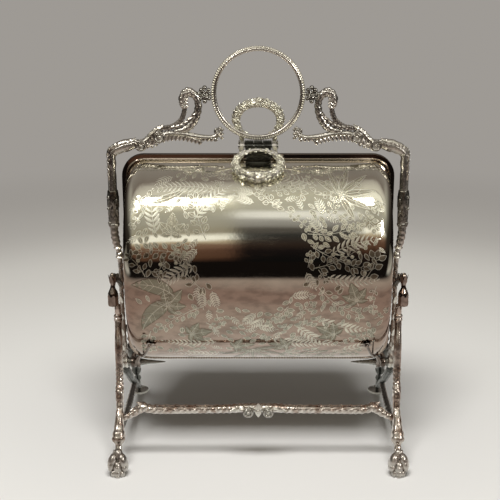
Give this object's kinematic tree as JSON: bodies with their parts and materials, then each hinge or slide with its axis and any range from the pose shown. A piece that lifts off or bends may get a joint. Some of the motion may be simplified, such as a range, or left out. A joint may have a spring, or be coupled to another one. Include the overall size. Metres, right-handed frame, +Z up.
{
  "type": "folding biscuit box",
  "caption": "Silver-plated folding biscuit box: two oval half shells hinged low between cast side frames, with inner grilles, wreath lifting handles and a ring carrying handle.",
  "frame": {"origin": "on the floor, under the middle of the box", "axes": "+X to the right, +Y to the back, +Z up; the two halves part at the plane y = 0"},
  "size_m": [0.2204, 0.1624, 0.2962],
  "materials": {
    "polished_silver": "polished silver plate",
    "cast_silver": "cast, plated, darkened in the recesses",
    "wreath_silver": "satin pale silver plate",
    "gilt_metal": "worn gilt",
    "hinge_metal": "dull grey"
  },
  "bodies": {
    "frame": {"upright_right": "cast_silver", "upright_left": "cast_silver", "upright_leaf_cup_right": "cast_silver", "upright_leaf_cup_left": "cast_silver", "front_leg_right": "cast_silver", "front_leg_left": "cast_silver", "front_paw_right": "cast_silver", "front_paw_left": "cast_silver", "front_finial_right": "polished_silver", "front_finial_left": "polished_silver", "finial_arm_right": "cast_silver", "finial_arm_left": "cast_silver", "rear_leg_right": "cast_silver", "rear_leg_left": "cast_silver", "rear_foot_right": "polished_silver", "rear_foot_left": "polished_silver", "rear_strut_right": "cast_silver", "rear_strut_left": "cast_silver", "rear_arm_right": "cast_silver", "rear_arm_left": "cast_silver", "side_stretcher_right": "cast_silver", "side_stretcher_left": "cast_silver", "top_arm_right": "cast_silver", "top_arm_left": "cast_silver", "bird_scroll_right": "cast_silver", "bird_scroll_left": "cast_silver", "ring_rosette_right": "cast_silver", "ring_rosette_left": "cast_silver", "pivot_stud_right": "hinge_metal", "pivot_stud_left": "hinge_metal", "pivot_nut_right": "hinge_metal", "pivot_nut_left": "hinge_metal", "front_stretcher": "cast_silver", "front_stretcher_ornament": "cast_silver", "rear_stretcher": "cast_silver", "ring_handle": "polished_silver"},
    "front_half": {"front_shell": "polished_silver", "front_rim": "polished_silver", "front_hinge_strap_right": "cast_silver", "front_hinge_strap_left": "cast_silver", "front_handle_bracket": "polished_silver", "front_handle_pin": "hinge_metal", "front_grille_pin": "hinge_metal"},
    "front_grille_door": {"front_grille": "gilt_metal", "front_grille_knob": "gilt_metal"},
    "front_handle": {"front_wreath_handle": "wreath_silver"},
    "rear_half": {"rear_shell": "polished_silver", "rear_rim": "polished_silver", "rear_hinge_strap_right": "cast_silver", "rear_hinge_strap_left": "cast_silver", "rear_handle_bracket": "polished_silver", "rear_handle_pin": "hinge_metal", "rear_grille_pin": "hinge_metal"},
    "rear_grille_door": {"rear_grille": "gilt_metal", "rear_grille_knob": "gilt_metal"},
    "rear_handle": {"rear_wreath_handle": "wreath_silver"}
  },
  "joints": [
    {"name": "front_half_hinge", "type": "hinge", "parent": "frame", "child": "front_half", "pos_m": [0, 0, 0.0578], "axis": [1, 0, 0], "range_deg": [0, 47]},
    {"name": "rear_half_hinge", "type": "hinge", "parent": "frame", "child": "rear_half", "pos_m": [0, 0, 0.0578], "axis": [-1, 0, 0], "range_deg": [0, 47]},
    {"name": "front_handle_hinge", "type": "hinge", "parent": "front_half", "child": "front_handle", "pos_m": [0, -0.0062, 0.226], "axis": [-1, 0, 0], "range_deg": [0, 122]},
    {"name": "rear_handle_hinge", "type": "hinge", "parent": "rear_half", "child": "rear_handle", "pos_m": [0, 0.0062, 0.226], "axis": [-1, 0, 0], "range_deg": [0, 126]},
    {"name": "front_grille_hinge", "type": "hinge", "parent": "front_half", "child": "front_grille_door", "pos_m": [0, -0.0068, 0.0727], "axis": [-1, 0, 0], "range_deg": [0, 24]},
    {"name": "rear_grille_hinge", "type": "hinge", "parent": "rear_half", "child": "rear_grille_door", "pos_m": [0, 0.0068, 0.0727], "axis": [1, 0, 0], "range_deg": [0, 24]}
  ],
  "couplings": [
    {"joint": "front_grille_hinge", "follows": "front_half_hinge", "ratio": 0.5},
    {"joint": "rear_grille_hinge", "follows": "rear_half_hinge", "ratio": 0.5}
  ]
}
